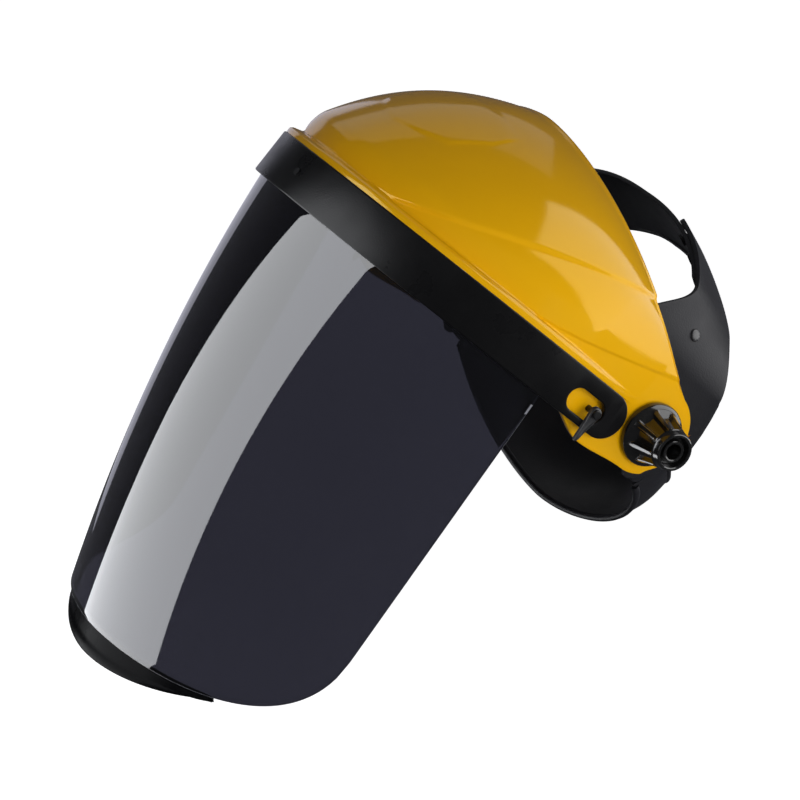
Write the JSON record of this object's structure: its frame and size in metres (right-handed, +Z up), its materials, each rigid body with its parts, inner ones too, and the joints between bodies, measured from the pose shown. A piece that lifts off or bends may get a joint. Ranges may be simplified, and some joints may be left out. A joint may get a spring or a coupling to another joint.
{
  "type": "face shield",
  "caption": "Lift-front face shield: amber brow guard with a smoke visor in a black frame, hinged by knobs on a pin-lock head harness.",
  "frame": {"origin": "midway between the two tilt pivots, beside the wearer's temples", "axes": "+X to the wearer's left, +Y to the back of the head, +Z up along the wearer's head"},
  "size_m": [0.2522, 0.2404, 0.3213],
  "materials": {
    "harness_plastic": "moulded, fine grain",
    "sweatband_foam": "cloth-covered foam",
    "black_plastic": "moulded, satin",
    "bolt_steel": "zinc-plated",
    "washer_rubber": "moulded rubber",
    "knob_plastic": "polished moulding",
    "insert_brass": "turned",
    "guard_plastic": "glossy amber-yellow moulding",
    "frame_plastic": "satin black, fine texture",
    "visor_smoke": "dark smoke-tinted clear sheet",
    "lip_plastic": "black moulding",
    "latch_plastic": "moulded, satin"
  },
  "bodies": {
    "headgear": {"forehead_band": "harness_plastic", "sweatband": "sweatband_foam", "side_plate_left": "harness_plastic", "side_plate_right": "harness_plastic", "band_rivets": "black_plastic", "crown_pins": "black_plastic", "plate_studs": "black_plastic", "nape_pegs": "black_plastic", "pivot_bolt_left": "bolt_steel", "pivot_bolt_right": "bolt_steel", "pivot_spacer_left": "black_plastic", "pivot_spacer_right": "black_plastic", "friction_washer_left": "washer_rubber", "friction_washer_right": "washer_rubber"},
    "nape": {"nape_strap": "harness_plastic"},
    "shield": {"brow_guard": "guard_plastic", "visor_frame": "frame_plastic", "visor": "visor_smoke", "visor_clamp": "frame_plastic", "chin_lip": "lip_plastic", "frame_rivets": "black_plastic", "latch_pin_left": "black_plastic", "latch_pin_right": "black_plastic"},
    "left_latch": {"latch_left": "latch_plastic"},
    "right_latch": {"latch_right": "latch_plastic"},
    "left_knob": {"knob_left": "knob_plastic", "knob_insert_left": "insert_brass"},
    "right_knob": {"knob_right": "knob_plastic", "knob_insert_right": "insert_brass"}
  },
  "joints": [
    {"name": "shield_tilt", "type": "hinge", "parent": "headgear", "child": "shield", "pos_m": [0, 0, 0], "axis": [-1, 0, 0], "range_deg": [0, 95]},
    {"name": "nape_adjust", "type": "slide", "parent": "headgear", "child": "nape", "axis": [0, 1, 0], "range_m": [0, 0.01]},
    {"name": "left_knob_turn", "type": "hinge", "parent": "headgear", "child": "left_knob", "pos_m": [0.104, 0, 0], "axis": [1, 0, 0], "range_deg": [0, 540]},
    {"name": "right_knob_turn", "type": "hinge", "parent": "headgear", "child": "right_knob", "pos_m": [-0.104, 0, 0], "axis": [-1, 0, 0], "range_deg": [0, 540]},
    {"name": "left_latch_turn", "type": "hinge", "parent": "shield", "child": "left_latch", "pos_m": [0.11, -0.0355, -0.008], "axis": [-1, 0, 0], "range_deg": [0, 90]},
    {"name": "right_latch_turn", "type": "hinge", "parent": "shield", "child": "right_latch", "pos_m": [-0.11, -0.0355, -0.008], "axis": [-1, 0, 0], "range_deg": [0, 90]}
  ]
}
